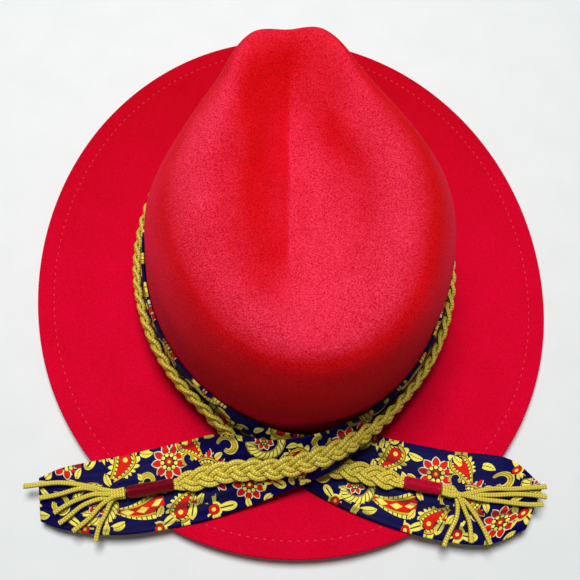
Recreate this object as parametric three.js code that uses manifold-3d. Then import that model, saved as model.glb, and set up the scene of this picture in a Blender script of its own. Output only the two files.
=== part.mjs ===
// A felt fedora with a teardrop crown, a folded scarf tied round it and a plaited cord with tassels.
// Units are millimetres, +Z is up and +Y is the front. The origin lies on the plane that the brim
// rests on, under the middle of the head opening.
import * as THREE from "three";
import { mergeVertices } from "three/addons/utils/BufferGeometryUtils.js";
import Module from "manifold-3d";

// Driving dimensions
const feltThick = 2.2;
const headLength = 198; // the head opening, front to back, inside the felt
const headWidth = 164;
const hemWide = 9; // the folded edge of the brim
const hemExtra = 1.8; // thickness that the fold adds under the edge
const crownTwist = 2; // degrees that the hand-shaped top is turned against the brim
const crownLean = 0.8; // and how far it leans to +X
const sectors = 56;

const bandLow = 5.4; // height of the scarf's lower edge round the crown
const bandHigh = 31;
const clothThick = 2.2; // the scarf is folded over several times
const pieceGap = 0.4; // space left between neighbouring pieces

const braidWide = 11.4;
const braidThick = 4.6;
const lobePitch = 8.6; // distance between neighbouring lobes on one side of the plait
const cordRadius = 1.3; // a single cord of the tassels
const bindingRadius = 3.3;

// Crown sections, by the angle from the front in degrees. The rim is the highest line of the top,
// the bowl inside it is given at 36% and 70% of the rim's radius, the bend is the shoulder outside it,
// and the wall and the body are given by how far they stand in from the base at heights of 75 and 50.
const crownSections = [
  { at: 0, rimR: 83.4, rimZ: 107.6, bowlZ: 88.6, slopeZ: 97, bendR: 88.6, bendZ: 99, wallIn: 7, bodyIn: 3.2 },
  { at: 12, rimR: 83.5, rimZ: 108, bowlZ: 88.8, slopeZ: 100, bendR: 90, bendZ: 101, wallIn: 6, bodyIn: 3 },
  { at: 31, rimR: 62, rimZ: 107.5, bowlZ: 90.5, slopeZ: 102, bendR: 72.5, bendZ: 99.5, wallIn: 12.5, bodyIn: 6 },
  { at: 52, rimR: 52, rimZ: 106, bowlZ: 92, slopeZ: 102.6, bendR: 65, bendZ: 98, wallIn: 13.5, bodyIn: 6.6 },
  { at: 85, rimR: 49.5, rimZ: 105, bowlZ: 92.4, slopeZ: 102.4, bendR: 64.5, bendZ: 97, wallIn: 7.4, bodyIn: 3.8 },
  { at: 115, rimR: 54, rimZ: 104, bowlZ: 91.8, slopeZ: 101.4, bendR: 69, bendZ: 96, wallIn: 7, bodyIn: 3.5 },
  { at: 140, rimR: 62, rimZ: 102.5, bowlZ: 90.4, slopeZ: 98.8, bendR: 77.5, bendZ: 95, wallIn: 6.5, bodyIn: 3.4 },
  { at: 163, rimR: 73, rimZ: 100.5, bowlZ: 88.4, slopeZ: 94.6, bendR: 86, bendZ: 93.5, wallIn: 6.5, bodyIn: 3.4 },
  { at: 180, rimR: 79, rimZ: 100, bowlZ: 88, slopeZ: 93.6, bendR: 89.5, bendZ: 92.5, wallIn: 6.5, bodyIn: 3.4 },
];
const hollowFloorZ = 86.8;
const hollowShift = 6; // how far the hollow's floor lies to +X of the middle

// The brim's width from the crown's base, and how far its edge lifts off the plane it rests on.
const brimSections = [
  { at: 0, wide: 61.5, lift: 4.2 },
  { at: 45, wide: 60.8, lift: 4.2 },
  { at: 70, wide: 60.8, lift: 4.2 },
  { at: 90, wide: 61.8, lift: 4.2 },
  { at: 120, wide: 64.4, lift: 4.8 },
  { at: 145, wide: 64.4, lift: 5.6 },
  { at: 180, wide: 61.5, lift: 6.8 },
];

// The scarf's two tails, from the side of the crown to their ends: the edge that hangs low, the
// edge that started as the top of the band, and where the plait lies between the two (0 to 1).
// Each row gives the underside of the cloth.
const overTailRows = [
  { lowX: 38, lowY: -98, lowZ: 10, topX: 34.4, topY: -92.6, topZ: 31, braid: 0.6 },
  { lowX: 14, lowY: -118, lowZ: 16.6, topX: 8, topY: -103.4, topZ: 31, braid: 0.55 },
  { lowX: -11, lowY: -127, lowZ: 10, topX: -18, topY: -105.5, topZ: 26, braid: 0.52 },
  { lowX: -34, lowY: -134.2, lowZ: 7, topX: -45.5, topY: -99.8, topZ: 18.5, braid: 0.52 },
  { lowX: -60, lowY: -140.8, lowZ: 8, topX: -67, topY: -101.8, topZ: 9.5, braid: 0.5 },
  { lowX: -96, lowY: -144.2, lowZ: 8.8, topX: -100, topY: -107, topZ: 8, braid: 0.5 },
  { lowX: -124, lowY: -140, lowZ: 7.2, topX: -126, topY: -110.6, topZ: 7.6, braid: 0.5 },
  { lowX: -137, lowY: -135, lowZ: 5.6, topX: -139, topY: -115, topZ: 5.8, braid: 0.5 },
];
const underTailRows = [
  { lowX: -40, lowY: -97, lowZ: 3.5, topX: -35.8, topY: -91.2, topZ: 29.5, braid: 0.34 },
  { lowX: -24, lowY: -112, lowZ: 2.8, topX: -15, topY: -100.6, topZ: 25, braid: 0.42 },
  { lowX: -5, lowY: -124, lowZ: 3, topX: 9, topY: -103.2, topZ: 17, braid: 0.5 },
  { lowX: 14, lowY: -136.2, lowZ: 4.4, topX: 31, topY: -102.2, topZ: 7, braid: 0.48 },
  { lowX: 38, lowY: -148.2, lowZ: 8.7, topX: 53, topY: -107.4, topZ: 4.6, braid: 0.5 },
  { lowX: 62, lowY: -156.3, lowZ: 9.4, topX: 78, topY: -114, topZ: 6.6, braid: 0.52 },
  { lowX: 88, lowY: -160.4, lowZ: 9, topX: 106, topY: -119.6, topZ: 8.8, braid: 0.5 },
  { lowX: 110, lowY: -154.5, lowZ: 7.2, topX: 122.5, topY: -134.5, topZ: 7.4, braid: 0.5 },
];

// Where the plait lies on the band round the crown, as a share of the band's height, on the side
// that leads to the over tail (+X) and on the side that leads to the under tail.
const bandBraid = [
  { at: 0, over: 0.16, under: 0.16 },
  { at: 60, over: 0.17, under: 0.16 },
  { at: 85, over: 0.45, under: 0.2 },
  { at: 105, over: 0.58, under: 0.48 },
  { at: 130, over: 0.6, under: 0.56 },
  { at: 180, over: 0.6, under: 0.42 },
];

// How many rows of its tail the plait runs along, and where the binding on it ends.
const overEnds = { braid: 4.18, binding: 4.85 };
const underEnds = { braid: 4.12, binding: 4.87 };

// The cords of each tassel: where each passes halfway, and its tip.
const overTassel = [
  { midX: -118, midY: -119.5, midZ: 12.6, tipX: -145.6, tipY: -117.8, tipZ: 10.4 },
  { midX: -116, midY: -121.6, midZ: 12.8, tipX: -137.4, tipY: -124.7, tipZ: 10.6 },
  { midX: -113, midY: -125, midZ: 12.8, tipX: -129.2, tipY: -132.9, tipZ: 11.4 },
  { midX: -110.5, midY: -128.4, midZ: 12.8, tipX: -127.1, tipY: -136.9, tipZ: 11.2 },
  { midX: -108, midY: -132, midZ: 12.8, tipX: -119.4, tipY: -142.2, tipZ: 11.4 },
  { midX: -104.5, midY: -136, midZ: 12.8, tipX: -108.6, tipY: -147.1, tipZ: 11 },
];
const underTassel = [
  { midX: 96, midY: -134, midZ: 12.8, tipX: 123.4, tipY: -135.2, tipZ: 11.6 },
  { midX: 95, midY: -137.2, midZ: 12.8, tipX: 122.5, tipY: -139.7, tipZ: 11.6 },
  { midX: 92, midY: -140.2, midZ: 12.8, tipX: 119.9, tipY: -143, tipZ: 11.6 },
  { midX: 84, midY: -147, midZ: 13, tipX: 88.2, tipY: -161.2, tipZ: 13.2 },
  { midX: 79, midY: -148.5, midZ: 13, tipX: 79.6, tipY: -159.8, tipZ: 13 },
  { midX: 73.5, midY: -147, midZ: 13, tipX: 65, tipY: -160.6, tipZ: 13 },
];

const felt = new THREE.MeshStandardMaterial({ color: "#d00a2c", roughness: 0.95, metalness: 0 });
const cloth = new THREE.MeshStandardMaterial({ color: "#1a1560", roughness: 0.55, metalness: 0 });
const gold = new THREE.MeshStandardMaterial({ color: "#d9c24c", roughness: 0.45, metalness: 0 });
const wine = new THREE.MeshStandardMaterial({ color: "#8a0a2c", roughness: 0.4, metalness: 0 });

const radians = THREE.MathUtils.degToRad;
const lerp = THREE.MathUtils.lerp;

// A cubic curve through values at given stations, with a straight run-out at both ends.
function cubicThrough(stations, values, at) {
  const last = stations.length - 1;
  let i = 0;
  while (i < last - 1 && at > stations[i + 1]) i += 1;
  const slope = (k) => {
    const a = Math.max(k - 1, 0);
    const b = Math.min(k + 1, last);
    return (values[b] - values[a]) / (stations[b] - stations[a]);
  };
  const span = stations[i + 1] - stations[i];
  const u = (at - stations[i]) / span;
  const ease = u * u * (3 - 2 * u);
  const swell = span * u * (1 - u) * ((1 - u) * slope(i) - u * slope(i + 1));
  return lerp(values[i], values[i + 1], ease) + swell;
}

// A table column at an angle from the front. The table is mirrored at the front and at the back.
function sectionValue(rows, column, angle) {
  const turn = Math.abs(((angle + 540) % 360) - 180);
  const before = { at: -rows[1].at, row: rows[1] };
  const after = { at: 360 - rows[rows.length - 2].at, row: rows[rows.length - 2] };
  const all = [before, ...rows.map((row) => ({ at: row.at, row })), after];
  return cubicThrough(all.map((s) => s.at), all.map((s) => s.row[column]), turn);
}

// Radius of the crown's base, an ellipse round the head, outside the felt.
function baseRadius(angle) {
  const across = headWidth / 2 + feltThick;
  const along = headLength / 2 + feltThick;
  const c = Math.cos(radians(angle));
  const s = Math.sin(radians(angle));
  return (across * along) / Math.hypot(across * c, along * s);
}

// Stations of the hat's upper surface at one angle, from the middle of the top to the hem.
function hatStations(angle) {
  const of = (column) => sectionValue(crownSections, column, angle);
  const base = baseRadius(angle);
  const lift = sectionValue(brimSections, "lift", angle);
  const brimWide = sectionValue(brimSections, "wide", angle);
  return [
    { r: 0, z: hollowFloorZ },
    { r: 0.36 * of("rimR"), z: of("bowlZ") },
    { r: 0.7 * of("rimR"), z: of("slopeZ") },
    { r: of("rimR"), z: of("rimZ") },
    { r: of("bendR"), z: of("bendZ") },
    { r: base - of("wallIn"), z: 75 },
    { r: base - of("bodyIn"), z: 50 },
    { r: base - 1.2, z: 27 },
    { r: base, z: 9 },
    { r: base + 1, z: 4.8 },
    { r: base + 4.4, z: feltThick + 0.3 },
    { r: base + 12, z: feltThick },
    { r: base + 28, z: feltThick },
    { r: base + 44, z: feltThick + 0.45 * lift },
    { r: base + brimWide - hemWide, z: feltThick + 0.86 * lift },
    { r: base + brimWide - 0.8, z: feltThick + lift },
  ];
}
const brimStation = 11; // the first station of the brim; from here to the next it lies level

// The upper surface at one angle and one place along the stations, as a radius and a height. The
// curve starts one station before the middle, mirrored, so that the top is level there.
function hatSurface(angle, place) {
  const half = hatStations(angle);
  const stations = [{ r: -half[1].r, z: half[1].z }, ...half];
  const chords = [0];
  for (let i = 1; i < stations.length; i += 1) {
    const a = stations[i - 1];
    const b = stations[i];
    chords.push(chords[i - 1] + Math.hypot(b.r - a.r, b.z - a.z));
  }
  const whole = Math.min(Math.floor(place), half.length - 2);
  const at = lerp(chords[whole + 1], chords[whole + 2], place - whole);
  const value = (key) => cubicThrough(chords, stations.map((s) => s[key]), at);
  return { r: value("r"), z: value("z") };
}

// The underside, one thickness below the upper surface: square to it on the crown, straight
// down on the brim.
function hatUnderside(angle, place) {
  const here = hatSurface(angle, place);
  if (place >= brimStation) return { r: here.r, z: here.z - feltThick };
  const a = hatSurface(angle, Math.max(place - 0.05, 0));
  const b = hatSurface(angle, place + 0.05);
  const long = Math.hypot(b.r - a.r, b.z - a.z);
  return { r: here.r + (feltThick * (b.z - a.z)) / long, z: here.z - (feltThick * (b.r - a.r)) / long };
}

// A point of the hat in space. The crown's top is twisted and leans a little, more so higher up, and
// the floor of its hollow lies off the middle.
function hatPoint(angle, { r, z }) {
  const share = THREE.MathUtils.smoothstep(z, 30, 95);
  const turn = radians(angle) - radians(crownTwist) * share;
  const across = crownLean * share + hollowShift * (1 - THREE.MathUtils.smoothstep(r, 0, 48));
  return new THREE.Vector3(r * Math.sin(turn) + across, r * Math.cos(turn), z);
}

// A closed solid from a list of rings with equal numbers of points, joined ring to ring. Each end
// is closed by a fan round its middle, or round the point given for it.
function loftGeometry(rings, firstTip, lastTip) {
  const size = rings[0].length;
  const middle = (ring) => ring.reduce((sum, p) => sum.add(p), new THREE.Vector3()).divideScalar(size);
  const points = [...rings.flat(), firstTip ?? middle(rings[0]), lastTip ?? middle(rings.at(-1))];
  const faces = [];
  for (let row = 0; row < rings.length - 1; row += 1) {
    for (let i = 0; i < size; i += 1) {
      const j = (i + 1) % size;
      const a = row * size;
      const b = a + size;
      faces.push(a + i, a + j, b + j, a + i, b + j, b + i);
    }
  }
  const tips = rings.length * size;
  const end = (rings.length - 1) * size;
  for (let i = 0; i < size; i += 1) {
    const j = (i + 1) % size;
    faces.push(tips, j, i, tips + 1, end + i, end + j);
  }
  return new THREE.BufferGeometry().setFromPoints(points).setIndex(faces);
}

// Crown and brim are one felt body: rings go down the outside, round the hem, back under the brim
// and up the inside.
function feltBodyGeometry() {
  const turns = Array.from({ length: sectors }, (_, i) => (360 * i) / sectors);
  const ring = (profile) => turns.map((angle) => hatPoint(angle, profile(angle)));
  const outside = [0.5, 1, 1.5, 2, 2.5, 3, 3.5, 4, 4.5, 5, 6, 7, 8, 9, 10, 11, 12, 13, 14, 15];
  const inside = [13, 12, 11, 10, 9, 8, 7, 6, 5, 4, 3, 2, 1];
  const edge = outside.at(-1);
  const under = feltThick + hemExtra;
  // Rings round the folded edge: how far back from the last station, and how far under the top face
  const hem = [
    { back: -0.8, down: 1 },
    { back: -0.8, down: under - 1 },
    { back: 0, down: under },
    { back: hemWide - 0.4, down: under - 0.6 },
    { back: hemWide, down: feltThick },
  ];
  const hemRing = ({ back, down }) => ring((angle) => {
    const { r, z } = hatSurface(angle, edge - Math.max(back, 0) / hemWide);
    return { r: r - Math.min(back, 0), z: z - down };
  });
  const rings = [
    ...outside.map((place) => ring((angle) => hatSurface(angle, place))),
    ...hem.map(hemRing),
    ...inside.map((place) => ring((angle) => hatUnderside(angle, place))),
  ];
  const middle = crownLean + hollowShift;
  const top = new THREE.Vector3(middle, 0, hollowFloorZ);
  return loftGeometry(rings, top, new THREE.Vector3(middle, 0, hollowFloorZ - feltThick));
}

// Rows of numbers joined by a smooth curve, with the given number of steps between rows.
function smoothRows(rows, steps) {
  const keys = Object.keys(rows[0]);
  const stations = rows.map((_, i) => i);
  const count = (rows.length - 1) * steps;
  return Array.from({ length: count + 1 }, (_, i) => {
    const row = {};
    for (const key of keys) row[key] = cubicThrough(stations, rows.map((r) => r[key]), i / steps);
    return row;
  });
}

// The band round the crown: its two edges at one angle, just clear of the felt.
function bandRow(angle) {
  const low = hatPoint(angle, { r: baseRadius(angle) + 0.8 + pieceGap, z: bandLow });
  const high = hatPoint(angle, { r: baseRadius(angle) - 1.4 + pieceGap, z: bandHigh });
  const braid = sectionValue(bandBraid, angle > 0 ? "over" : "under", angle);
  return { lowX: low.x, lowY: low.y, lowZ: low.z, topX: high.x, topY: high.y, topZ: high.z, braid };
}

// The scarf is one folded strip: over tail, band round the front, under tail. These are its rows
// in order, with its two edges as points and the direction that its outer face looks in.
const tailSteps = 2; // rows made for each row of a tail's table
const bandHalf = 23; // sectors that the band takes on each side of the front
const stripRows = (() => {
  const angles = Array.from({ length: 2 * bandHalf + 1 }, (_, i) => ((bandHalf - i) * 360) / sectors);
  const band = angles.map(bandRow);
  const tail = (rows, start) => smoothRows([start, ...rows], tailSteps).slice(1);
  const rows = [
    ...tail(overTailRows, band[0]).reverse(),
    ...band,
    ...tail(underTailRows, band.at(-1)),
  ];
  const low = rows.map((r) => new THREE.Vector3(r.lowX, r.lowY, r.lowZ));
  const top = rows.map((r) => new THREE.Vector3(r.topX, r.topY, r.topZ));
  return rows.map(({ braid }, i) => {
    const a = Math.max(i - 1, 0);
    const b = Math.min(i + 1, rows.length - 1);
    const forward = low[b].clone().add(top[b]).sub(low[a]).sub(top[a]);
    const out = forward.cross(top[i].clone().sub(low[i])).normalize();
    return { low: low[i], top: top[i], out, braid };
  });
})();
const overRowAt = (row) => (overTailRows.length - row - 1) * tailSteps;
const underRowAt = (row) => stripRows.length - 1 - (underTailRows.length - row - 1) * tailSteps;

// A place on the strip: at a row that need not be whole, a share of the way across, a height above
// the underside of the cloth.
function stripPlace(at, across, height) {
  const i = Math.min(Math.floor(at), stripRows.length - 2);
  const [a, b] = [stripRows[i], stripRows[i + 1]];
  const low = a.low.clone().lerp(b.low, at - i);
  const top = a.top.clone().lerp(b.top, at - i);
  const out = a.out.clone().lerp(b.out, at - i).normalize();
  const share = across ?? lerp(a.braid, b.braid, at - i);
  return { point: low.lerp(top, share).addScaledVector(out, height), out };
}

// The cloth's outer face has two long soft folds.
function scarfGeometry() {
  const face = [
    { across: 1, height: 0.5 },
    { across: 0.74, height: 1 },
    { across: 0.48, height: 0.75 },
    { across: 0.22, height: 1 },
    { across: 0, height: 0.55 },
    { across: 0, height: 0 },
    { across: 0.5, height: 0 },
    { across: 1, height: 0 },
  ];
  return loftGeometry(stripRows.map((_, i) => face.map(
    ({ across, height }) => stripPlace(i, across, height * clothThick).point,
  )));
}

// The plait rides on the strip. It is one solid whose sides swell in turn, left and right, where
// its lobes lie.
function braidGeometry() {
  const from = overRowAt(overEnds.braid);
  const to = underRowAt(underEnds.braid);
  const samples = 4 * Math.round(to - from);
  const height = clothThick + pieceGap + braidThick / 2;
  const places = Array.from({ length: samples + 1 }, (_, i) =>
    stripPlace(lerp(from, to, i / samples), null, height));
  const route = new THREE.CatmullRomCurve3(places.map((p) => p.point));
  const count = Math.round((2 * route.getLength()) / lobePitch);
  const section = [
    { across: -1, up: -0.35 }, { across: -0.5, up: -1 }, { across: 0.5, up: -1 },
    { across: 1, up: -0.35 }, { across: 1, up: 0.35 }, { across: 0.45, up: 1 },
    { across: -0.45, up: 1 }, { across: -1, up: 0.35 },
  ];
  const rings = Array.from({ length: count + 1 }, (_, i) => {
    const share = route.getUtoTmapping(i / count);
    const middle = route.getPoint(share);
    const out = places[Math.round(share * samples)].out;
    const side = out.clone().cross(route.getTangent(share)).normalize();
    const swell = i % 2 ? 0.1 : -0.1;
    return section.map(({ across, up }) => {
      const wide = (braidWide / 2) * across * (1 + swell * Math.sign(across));
      return middle.clone().addScaledVector(side, wide).addScaledVector(out, (up * braidThick) / 2);
    });
  });
  return loftGeometry(rings);
}

// Rings of a round bar between two points, one ring for each row of its profile.
function barRings(from, to, profile, sides) {
  const along = to.clone().sub(from);
  const side = new THREE.Vector3(0, 0, 1).cross(along).normalize();
  const up = along.clone().cross(side).normalize();
  return profile.map(({ share, radius }) => Array.from({ length: sides }, (_, i) => {
    const turn = (2 * Math.PI * i) / sides;
    return from.clone().addScaledVector(along, share)
      .addScaledVector(side, radius * Math.cos(turn)).addScaledVector(up, radius * Math.sin(turn));
  }));
}

// The two ends of a binding, which lies on the tail next to the end of the plait.
function bindingEnds(rowAt, ends) {
  const height = clothThick + pieceGap + bindingRadius;
  const start = stripPlace(rowAt(ends.braid), null, height).point;
  const end = stripPlace(rowAt(ends.binding), null, height).point;
  const along = end.clone().sub(start).normalize();
  return { start: start.addScaledVector(along, pieceGap), end, along };
}

// Thread wound tight round the cords: a bar, a little slimmer at its ends.
function bindingGeometry(rowAt, ends) {
  const { start, end } = bindingEnds(rowAt, ends);
  const profile = [
    { share: 0, radius: 0.86 * bindingRadius },
    { share: 0.1, radius: bindingRadius },
    { share: 0.9, radius: bindingRadius },
    { share: 1, radius: 0.86 * bindingRadius },
  ];
  return loftGeometry(barRings(start, end, profile, 12));
}

// A closed mesh as a solid that can be joined to others.
const wasm = await Module();
wasm.setup();
function solidOf(geometry) {
  const bare = geometry.clone();
  bare.deleteAttribute("normal");
  bare.deleteAttribute("uv");
  const merged = mergeVertices(bare, 1e-4);
  return new wasm.Manifold(new wasm.Mesh({
    numProp: 3,
    vertProperties: new Float32Array(merged.attributes.position.array),
    triVerts: new Uint32Array(merged.index.array),
  }));
}

function geometryOf(solid) {
  const mesh = solid.getMesh();
  const geometry = new THREE.BufferGeometry();
  geometry.setAttribute("position", new THREE.BufferAttribute(mesh.vertProperties, 3));
  return geometry.setIndex(new THREE.BufferAttribute(mesh.triVerts, 1));
}

// A tassel: six cords that leave the binding as one bundle and fan out, fused to a short head.
function tasselGeometry(rowAt, ends, cords) {
  const { end, along } = bindingEnds(rowAt, ends);
  const root = end.clone().addScaledVector(along, pieceGap);
  const headLong = 6;
  const headRadius = 0.8 * bindingRadius;
  const head = barRings(root, root.clone().addScaledVector(along, headLong), [
    { share: 0, radius: headRadius },
    { share: 1, radius: headRadius },
  ], 10);
  const side = new THREE.Vector3(0, 0, 1).cross(along).normalize();
  let tassel = solidOf(loftGeometry(head));
  const section = new THREE.Shape().absarc(0, 0, cordRadius, 0, 2 * Math.PI);
  cords.forEach((cord, i) => {
    const spread = (i / (cords.length - 1) - 0.5) * 2 * (headRadius - cordRadius);
    const start = root.clone().addScaledVector(along, 1).addScaledVector(side, spread);
    const route = new THREE.CatmullRomCurve3([
      start,
      start.clone().addScaledVector(along, headLong),
      new THREE.Vector3(cord.midX, cord.midY, cord.midZ),
      new THREE.Vector3(cord.tipX, cord.tipY, cord.tipZ),
    ]);
    const tube = new THREE.ExtrudeGeometry(section, { curveSegments: 6, steps: 8, extrudePath: route });
    tassel = tassel.add(solidOf(tube));
  });
  return geometryOf(tassel);
}

const model = new THREE.Group();
function addPiece(name, geometry, material) {
  geometry.computeVertexNormals();
  const piece = new THREE.Mesh(geometry, material);
  piece.name = name;
  model.add(piece);
}

addPiece("felt_body", feltBodyGeometry(), felt);
addPiece("scarf", scarfGeometry(), cloth);
addPiece("braid", braidGeometry(), gold);
addPiece("binding_left", bindingGeometry(overRowAt, overEnds), wine);
addPiece("binding_right", bindingGeometry(underRowAt, underEnds), wine);
addPiece("tassel_left", tasselGeometry(overRowAt, overEnds, overTassel), gold);
addPiece("tassel_right", tasselGeometry(underRowAt, underEnds, underTassel), gold);

export default model;
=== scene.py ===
# A felt fedora with a teardrop crown, a folded scarf tied round it and a plaited cord with tassels.
# Tables and sizes are in millimetres, +Z is up and +Y is the front of the hat.
import math

import bpy
import numpy as np
from mathutils import Matrix, Vector


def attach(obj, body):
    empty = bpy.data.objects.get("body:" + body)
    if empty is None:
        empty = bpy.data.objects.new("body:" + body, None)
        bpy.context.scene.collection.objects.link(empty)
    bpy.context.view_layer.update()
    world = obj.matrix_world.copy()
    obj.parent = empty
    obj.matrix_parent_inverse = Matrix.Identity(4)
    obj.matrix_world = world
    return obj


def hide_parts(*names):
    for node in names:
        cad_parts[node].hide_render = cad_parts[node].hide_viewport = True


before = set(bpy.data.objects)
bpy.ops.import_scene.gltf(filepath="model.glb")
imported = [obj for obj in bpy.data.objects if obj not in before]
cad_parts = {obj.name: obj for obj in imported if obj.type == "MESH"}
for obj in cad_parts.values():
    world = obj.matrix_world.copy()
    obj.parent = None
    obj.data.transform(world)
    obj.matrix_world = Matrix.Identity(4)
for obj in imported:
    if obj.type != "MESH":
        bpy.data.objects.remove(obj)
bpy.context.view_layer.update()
print("frame loaded:", len(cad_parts), "nodes")
mm = 0.001
fullTurn = 2 * math.pi


# Camera, light and floor, in metres and degrees; the lens and the sensor are in millimetres

view = {
    "azimuth": -10.5,
    "elevation": 68.0,
    "roll": 7.3,
    "distance": 0.3964,
    "target": (-0.0055, -0.0291, 0.040),
    "lens": 46.55,
    "sensor": 36,
    "near": 0.01,
    "far": 50,
}
studio = {
    "floorSize": 6.0,
    "lampPlace": (-0.08, 0.27, 1.28),
    "lampAim": (0, 0, 0.03),
    "lampSize": 0.58,
    "lampPower": 16.8,
    "worldStrength": 0.1,
    "paperDark": (232, 236, 236),
    "paperLight": (240, 244, 243),
    "paperGrain": 40,
}


def makeCamera():
    a = math.radians(view["azimuth"])
    e = math.radians(view["elevation"])
    back = Vector((math.sin(a) * math.cos(e), -math.cos(a) * math.cos(e), math.sin(e)))
    right = Vector((0, 0, 1)).cross(back).normalized()
    up = back.cross(right)
    roll = math.radians(view["roll"])
    turnedRight = right * math.cos(roll) + up * math.sin(roll)
    turnedUp = up * math.cos(roll) - right * math.sin(roll)
    place = Vector(view["target"]) + back * view["distance"]
    data = bpy.data.cameras.new("camera")
    data.lens = view["lens"]
    data.sensor_width = view["sensor"]
    data.clip_start = view["near"]
    data.clip_end = view["far"]
    camera = bpy.data.objects.new("camera", data)
    bpy.context.scene.collection.objects.link(camera)
    columns = Matrix((turnedRight, turnedUp, back)).transposed().to_4x4()
    camera.matrix_world = Matrix.Translation(place) @ columns
    bpy.context.scene.camera = camera


def makeLights():
    data = bpy.data.lights.new("window", "AREA")
    data.shape = "DISK"
    data.size = studio["lampSize"]
    data.energy = studio["lampPower"]
    lamp = bpy.data.objects.new("window", data)
    bpy.context.scene.collection.objects.link(lamp)
    place = Vector(studio["lampPlace"])
    lamp.location = place
    lamp.rotation_mode = "QUATERNION"
    lamp.rotation_quaternion = (Vector(studio["lampAim"]) - place).to_track_quat("-Z", "Y")
    world = bpy.data.worlds.new("studio")
    world.use_nodes = True
    world.node_tree.nodes["Background"].inputs["Color"].default_value = (1, 1, 1, 1)
    world.node_tree.nodes["Background"].inputs["Strength"].default_value = studio["worldStrength"]
    bpy.context.scene.world = world


# Shader maths: an expression on these values adds its Math nodes

class Val:
    def __init__(self, tree, link):
        self.tree = tree
        self.link = link

    def math(self, operation, *others, clamp=False):
        made = self.tree.nodes.new("ShaderNodeMath")
        made.operation = operation
        made.use_clamp = clamp
        for i, one in enumerate((self, *others)):
            if isinstance(one, Val):
                self.tree.links.new(one.link, made.inputs[i])
            else:
                made.inputs[i].default_value = one
        return Val(self.tree, made.outputs[0])

    def __rsub__(self, other):
        return (self * -1.0).math("ADD", other)

    def __rtruediv__(self, other):
        return self.math("POWER", -1.0) * other

    # 0 below low, 1 above high, straight between them
    def ramp(self, low, high):
        return self.math("MULTIPLY_ADD", 1.0 / (high - low), -low / (high - low), clamp=True)

    # 1 where the value is under the limit, with a soft edge of the given width
    def under(self, limit, soft):
        return self.ramp(limit + soft / 2, limit - soft / 2)


# The other operators and methods each add one Math node
def addsNode(operation):
    return lambda self, *others: self.math(operation, *others)


for method, operation in (
    ("__add__", "ADD"),
    ("__radd__", "ADD"),
    ("__sub__", "SUBTRACT"),
    ("__mul__", "MULTIPLY"),
    ("__rmul__", "MULTIPLY"),
    ("__truediv__", "DIVIDE"),
    ("__pow__", "POWER"),
    ("__mod__", "FLOORED_MODULO"),
    ("__gt__", "GREATER_THAN"),
    ("sin", "SINE"),
    ("cos", "COSINE"),
    ("abs", "ABSOLUTE"),
    ("sqrt", "SQRT"),
    ("least", "MINIMUM"),
    ("most", "MAXIMUM"),
    ("angle", "ARCTAN2"),
):
    setattr(Val, method, addsNode(operation))


class Finish:
    def __init__(self, name, **constants):
        self.material = bpy.data.materials.new(name)
        self.material.use_nodes = True
        self.tree = self.material.node_tree
        self.shader = self.tree.nodes["Principled BSDF"]
        for socket, value in constants.items():
            self.shader.inputs[socket.replace("_", " ")].default_value = value

    # any node: its type, its settings, then its sockets by name, or as i and their number
    def node(self, kind, settings=None, **inputs):
        made = self.tree.nodes.new("ShaderNode" + kind)
        for key, value in (settings or {}).items():
            setattr(made, key, value)
        for key, value in inputs.items():
            numbered = key[0] == "i" and key[1:].isdigit()
            socket = made.inputs[int(key[1:]) if numbered else key]
            if isinstance(value, Val):
                self.tree.links.new(value.link, socket)
            else:
                socket.default_value = value
        return made

    def val(self, made, output=0):
        return Val(self.tree, made.outputs[output])

    def place(self, source="Object"):
        return self.val(self.node("TexCoord"), source)

    def uv(self, layer):
        return self.val(self.node("UVMap", {"uv_map": layer}))

    def split(self, vector):
        made = self.node("SeparateXYZ", Vector=vector)
        return [self.val(made, axis) for axis in ("X", "Y", "Z")]

    def join(self, x, y, z=0.0):
        return self.val(self.node("CombineXYZ", X=x, Y=y, Z=z))

    def noise(self, vector, scale, detail=2.0, rough=0.5):
        return self.val(self.node("TexNoise", Vector=vector, Scale=scale, Detail=detail, Roughness=rough))

    def mix(self, factor, a, b):
        return self.val(self.node("Mix", {"data_type": "RGBA"}, i0=factor, i6=a, i7=b), 2)

    def bump(self, height, strength, distance, **normal):
        return self.val(self.node("Bump", Height=height, Strength=strength, Distance=distance, **normal))

    def feed(self, **sockets):
        for socket, value in sockets.items():
            self.tree.links.new(value.link, self.shader.inputs[socket.replace("_", " ")])


# A colour given as the eye reads it, 0 to 255, turned into the shader's linear values
def shade(red, green, blue):
    parts = [c / 255 for c in (red, green, blue)]
    linear = [p / 12.92 if p <= 0.04045 else ((p + 0.055) / 1.055) ** 2.4 for p in parts]
    return (*linear, 1.0)


# Curves and meshes

# The stations before and after each of a row of stations; the first and the last stand for themselves
def neighbours(count):
    i = np.arange(count)
    return np.maximum(i - 1, 0), np.minimum(i + 1, count - 1)


# Between two stations a value eases from one to the other as u*u*(3-2u), plus
# span*u*(1-u)*((1-u)*slopeBefore - u*slopeAfter), u being the share of the span that is passed
def easedBetween(u, span, value, nextValue, slope, nextSlope):
    swell = span * u * (1 - u) * ((1 - u) * slope - u * nextSlope)
    return value + (nextValue - value) * (u * u * (3 - 2 * u)) + swell


# A smooth curve through values at stations; values may hold several columns
def curveThrough(stations, values, at):
    stations = np.asarray(stations, float)
    values = np.asarray(values, float)
    i = np.clip(np.searchsorted(stations, at) - 1, 0, len(stations) - 2)
    before, after = neighbours(len(stations))
    tall = (slice(None),) + (None,) * (values.ndim - 1)
    slope = (values[after] - values[before]) / (stations[after] - stations[before])[tall]
    span = (stations[i + 1] - stations[i])[tall]
    u = (at - stations[i])[tall] / span
    return easedBetween(u, span, values[i], values[i + 1], slope[i], slope[i + 1])


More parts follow.
